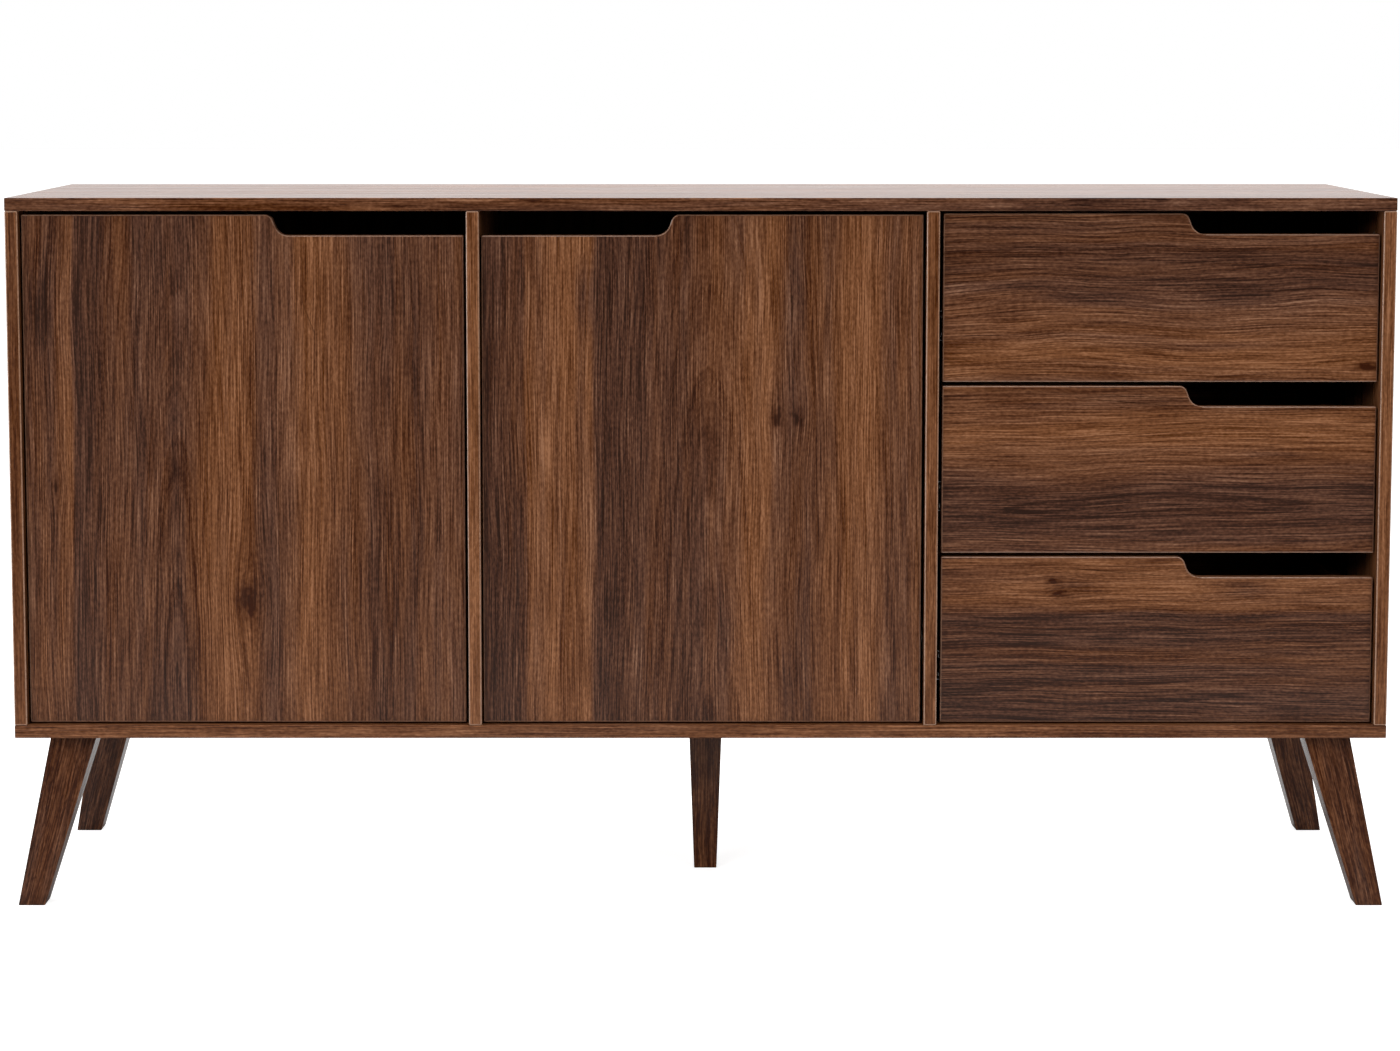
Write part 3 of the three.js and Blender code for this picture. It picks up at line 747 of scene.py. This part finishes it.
def screw_head(name, radius, height, dome=0.72):
    """A pan head with a cross recess, standing on z = 0. dome is the flat top's share of the radius."""
    bm = bmesh.new()
    profile = [
        (radius, 0),
        (radius, height * 0.35),
        (radius * 0.95, height * 0.66),
        (radius * 0.86, height * 0.88),
        (radius * dome, height),
    ]
    rim = turn_profile(bm, profile)
    close_with_cross(bm, rim, reach=radius * 0.52, width=radius * 0.2, height=height, depth=height * 0.7)
    return to_mesh(name, bm)


def cam_disc(name, radius, height):
    """The turning disc of a cam fitting: a rim, a groove and a cross-slotted middle."""
    bm = bmesh.new()
    profile = [
        (radius, 0),
        (radius, height * 0.7),
        (radius * 0.96, height),
        (radius * 0.80, height),
        (radius * 0.77, height * 0.45),
        (radius * 0.70, height * 0.45),
        (radius * 0.67, height),
    ]
    rim = turn_profile(bm, profile, steps=40)
    close_with_cross(bm, rim, reach=radius * 0.48, width=radius * 0.18, height=height, depth=height * 0.9)
    return to_mesh(name, bm)


def add_box(bm, low, high, edge):
    """A block with rounded edges."""
    made = bmesh.ops.create_cube(bm, size=1)["verts"]
    for vert in made:
        vert.co = Vector([high[i] if vert.co[i] > 0 else low[i] for i in range(3)])
    edges = {e for vert in made for e in vert.link_edges}
    bmesh.ops.bevel(bm, geom=list(edges), offset=edge, segments=2, affect="EDGES", profile=0.5)


def shelf_pin():
    """A pin with a collar against the upright and a flat tongue under the shelf; its local +Y is up."""
    bm = bmesh.new()
    collar, shaft = 3.8 * MM, 2.5 * MM
    profile = [
        (collar, 0),
        (collar, 0.9 * MM),
        (collar - 0.4 * MM, 1.2 * MM),
        (shaft, 1.2 * MM),
        (shaft, 8.0 * MM),
        (shaft - 0.5 * MM, 8.6 * MM),
    ]
    close_flat(bm, turn_profile(bm, profile))
    half_width, tongue_bottom, tongue_length = 4.5 * MM, 2.2 * MM, 10 * MM
    low = (-half_width, tongue_bottom, 0.2 * MM)
    high = (half_width, SHELF_PIN_TONGUE_TOP, tongue_length)
    add_box(bm, low, high, edge=0.4 * MM)
    return to_mesh("shelf_pin", bm)


def nail_head():
    """A low domed head."""
    bm = bmesh.new()
    profile = [
        (2.1 * MM, 0),
        (2.1 * MM, 0.15 * MM),
        (1.5 * MM, 0.42 * MM),
        (0.7 * MM, 0.52 * MM),
    ]
    close_flat(bm, turn_profile(bm, profile, steps=20))
    return to_mesh("nail_head", bm)


def door_stop():
    """A small moulded block. The door's pad goes on its front, which faces its local +Z."""
    bm = bmesh.new()
    length = 14 * MM
    add_box(bm, (-STOP_HALF_WIDTH, 0, -length), (STOP_HALF_WIDTH, STOP_HEIGHT, 0), edge=1.2 * MM)
    return to_mesh("door_stop", bm)


def soft_pad(name, radius, height):
    """A round pad with a rounded rim."""
    bm = bmesh.new()
    profile = [(radius, 0), (radius, height * 0.6), (radius * 0.93, height * 0.9), (radius * 0.8, height)]
    close_flat(bm, turn_profile(bm, profile))
    return to_mesh(name, bm)


def fit(name, mesh, material, body, at, facing):
    """One fitting from a shared mesh, standing at a point and facing a direction, its local +Y kept up."""
    if not mesh.materials:
        mesh.materials.append(material)
    piece = bpy.data.objects.new(name, mesh)
    SCENE.collection.objects.link(piece)
    turned = Vector(facing).to_track_quat("Z", "Y").to_matrix().to_4x4()
    piece.matrix_world = Matrix.Translation(at) @ turned
    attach(piece, body)


def inner_faces():
    """The upright faces that look into a compartment: (upright, x of the face, direction it faces)."""
    left_side, left_divider, right_divider, right_side = (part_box(name) for name in UPRIGHTS)
    return (
        ("left_side", left_side[1].x, 1),
        ("left_divider_left", left_divider[0].x, -1),
        ("left_divider_right", left_divider[1].x, 1),
        ("right_divider_left", right_divider[0].x, -1),
        ("right_divider_right", right_divider[1].x, 1),
        ("right_side", right_side[0].x, -1),
    )


def add_case_cams(zinc):
    """Cams join the uprights to the top and the bottom. None of them faces the middle compartment."""
    disc = cam_disc("case_cam", radius=7.5 * MM, height=0.7 * MM)
    low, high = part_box("left_side_panel")
    from_end, from_front, from_rear = 34 * MM, 50 * MM, 63 * MM
    for name, x, facing in inner_faces():
        if name in ("left_divider_right", "right_divider_left"):
            continue
        for level, z in (("lower", low.z + from_end), ("upper", high.z - from_end)):
            for place, y in (("front", low.y + from_front), ("rear", high.y - from_rear)):
                fit(f"{name}_{level}_{place}_cam", disc, zinc, "case", (x, y, z), (facing, 0, 0))


def add_shelf_pins(nickel):
    """Two pins under each end of each shelf, in the uprights' inner faces."""
    pin = shelf_pin()
    from_edge, clearance = 45 * MM, 0.2 * MM
    faces = {name: (x, facing) for name, x, facing in inner_faces()}
    ends = {
        "left_shelf": ("left_side", "left_divider_left"),
        "middle_shelf": ("left_divider_right", "right_divider_left"),
    }
    for shelf, (left, right) in ends.items():
        low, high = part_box(shelf)
        z = low.z - SHELF_PIN_TONGUE_TOP - clearance
        for end, face in (("left", left), ("right", right)):
            x, facing = faces[face]
            for place, y in (("front", low.y + from_edge), ("rear", high.y - from_edge)):
                fit(f"{shelf}_{end}_{place}_pin", pin, nickel, "case", (x, y, z), (facing, 0, 0))


def add_hinge_screws(nickel):
    """Each hinge's screws: two in its mounting plate, two beside its cup, and two adjusters in its arm."""
    wood_screw = screw_head("hinge_screw", radius=3.6 * MM, height=1.7 * MM)
    adjuster = screw_head("hinge_adjuster", radius=3.1 * MM, height=1.1 * MM, dome=0.85)
    plate_face, arm_face = 2.5 * MM, 12 * MM
    plate_from_cup, screw_in_from_cup_edge = 52.8 * MM, 9.5 * MM
    plate_screw_drop, cup_screw_drop = 18.5 * MM, 24 * MM
    front_from_arm_end, rear_from_arm_end = 34 * MM, 13 * MM
    for door in DOORS:
        side = 1 if door == "left_door" else -1
        for label in HINGE_LABELS:
            arm_low, arm_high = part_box(f"{door}_{label}_hinge_arm")
            cup_low, cup_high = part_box(f"{door}_{label}_hinge_cup")
            z = (arm_low.z + arm_high.z) / 2
            panel_x = arm_low.x if side > 0 else arm_high.x
            plate_x = panel_x + side * plate_face
            top_x = panel_x + side * arm_face
            plate_y = cup_high.y + plate_from_cup
            ear_x = (cup_low.x if side < 0 else cup_high.x) - side * screw_in_from_cup_edge
            for end, up in (("lower", -1), ("upper", 1)):
                fit(f"{door}_{label}_plate_{end}_screw", wood_screw, nickel, "case",
                    (plate_x, plate_y, z + up * plate_screw_drop), (side, 0, 0))
                fit(f"{door}_{label}_cup_{end}_screw", wood_screw, nickel, door,
                    (ear_x, cup_high.y, z + up * cup_screw_drop), (0, 1, 0))
            arm_end = arm_high.y
            for place, y in (("front", arm_end - front_from_arm_end), ("rear", arm_end - rear_from_arm_end)):
                fit(f"{door}_{label}_arm_{place}_adjuster", adjuster, nickel, "case",
                    (top_x, y, z), (side, 0, 0))


def add_slide_screws(zinc):
    """Screws hold each case rail to its upright and each drawer rail to its drawer's side."""
    screw = screw_head("slide_screw", radius=3.3 * MM, height=1.5 * MM)
    from_end = 32 * MM
    for drawer in DRAWERS:
        for label, sign in (("left", 1), ("right", -1)):
            case_low, case_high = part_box(f"{drawer}_{label}_case_rail")
            slide_low, slide_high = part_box(f"{drawer}_{label}_drawer_rail")
            case_x = (case_low.x if sign > 0 else case_high.x) + sign * RAIL_WALL
            slide_x = (slide_high.x if sign > 0 else slide_low.x) - sign * RAIL_WALL
            z = (case_low.z + case_high.z) / 2
            places = (
                ("front", case_low.y + from_end),
                ("middle", (case_low.y + case_high.y) / 2),
                ("rear", case_high.y - from_end),
            )
            for place, y in places:
                fit(f"{drawer}_{label}_case_rail_{place}_screw", screw, zinc, "case",
                    (case_x, y, z), (sign, 0, 0))
                fit(f"{drawer}_{label}_drawer_rail_{place}_screw", screw, zinc, drawer,
                    (slide_x, y, z), (-sign, 0, 0))


def add_drawer_fixings(zinc):
    """Cams hold each drawer's front to its sides, and screws hold its back between them."""
    cam = cam_disc("drawer_cam", radius=6 * MM, height=0.6 * MM)
    screw = screw_head("drawer_screw", radius=3.4 * MM, height=0.8 * MM, dome=0.9)
    cam_from_front, cam_from_bottom, cam_from_top = 24 * MM, 42 * MM, 28 * MM
    screw_from_bottom, screw_from_top = 26 * MM, 24 * MM
    for drawer in DRAWERS:
        back_low, back_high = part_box(f"{drawer}_back")
        back_y = (back_low.y + back_high.y) / 2
        for side, sign in (("left", 1), ("right", -1)):
            low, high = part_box(f"{drawer}_{side}_side")
            inside = high.x if sign > 0 else low.x
            outside = low.x if sign > 0 else high.x
            for level, z in (("lower", low.z + cam_from_bottom), ("upper", high.z - cam_from_top)):
                fit(f"{drawer}_{side}_{level}_cam", cam, zinc, drawer,
                    (inside, low.y + cam_from_front, z), (sign, 0, 0))
            for level, z in (("lower", low.z + screw_from_bottom), ("upper", high.z - screw_from_top)):
                fit(f"{drawer}_{side}_{level}_corner_screw", screw, zinc, drawer,
                    (outside, back_y, z), (-sign, 0, 0))


def add_door_stops(plastic, rubber):
    """The closed door's free edge meets a pad, low down beside the left divider."""
    block = door_stop()
    pad = soft_pad("door_pad", radius=4 * MM, height=0.8 * MM)
    behind_door = 1.0 * MM
    from_divider = STOP_HALF_WIDTH + 0.5 * MM
    divider_low, divider_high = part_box("left_divider")
    floor_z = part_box("bottom_panel")[1].z
    pad_z = floor_z + STOP_HEIGHT / 2
    stops = (("left_door", divider_low.x - from_divider), ("middle_door", divider_high.x + from_divider))
    for door, x in stops:
        face_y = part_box(f"{door}_panel")[1].y + behind_door
        fit(f"{door}_stop", block, plastic, "case", (x, face_y, floor_z), (0, -1, 0))
        fit(f"{door}_stop_pad", pad, rubber, "case", (x, face_y, pad_z), (0, -1, 0))


def add_back_nails(zinc):
    """Nails hold the back boards to the dividers, on both sides of each joint."""
    nail = nail_head()
    low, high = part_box("middle_back_panel")
    count = 7
    margin = 40 * MM
    from_joint = 3.8 * MM
    step = (high.z - low.z - 2 * margin) / (count - 1)
    for joint, x in (("left", low.x), ("right", high.x)):
        for side, offset in (("left", -from_joint), ("right", from_joint)):
            for index in range(count):
                fit(f"{joint}_joint_{side}_nail_{index + 1}", nail, zinc, "case",
                    (x + offset, high.y, low.z + margin + index * step), (0, 1, 0))


# ---- The scene ----------------------------------------------------------------------------------

add_camera()
add_world()
add_floor()
add_lights()
SCENE.view_settings.view_transform = "Standard"

finish_boards()
finish_legs()
finish_inside()
zinc = plated_steel("zinc_plate", srgb(150, 153, 158), srgb(196, 199, 204), roughness=0.36, brushed=0.6)
nickel = plated_steel("nickel_plate", srgb(176, 174, 168), srgb(214, 212, 205), roughness=0.22, brushed=0.3)
plastic = moulded_plastic("brown_plastic", srgb(58, 38, 29))
rubber = moulded_plastic("grey_rubber", srgb(92, 92, 90), roughness=0.7)
finish_metal(zinc, nickel)
add_case_cams(zinc)
add_shelf_pins(nickel)
add_hinge_screws(nickel)
add_slide_screws(zinc)
add_drawer_fixings(zinc)
add_door_stops(plastic, rubber)
add_back_nails(zinc)
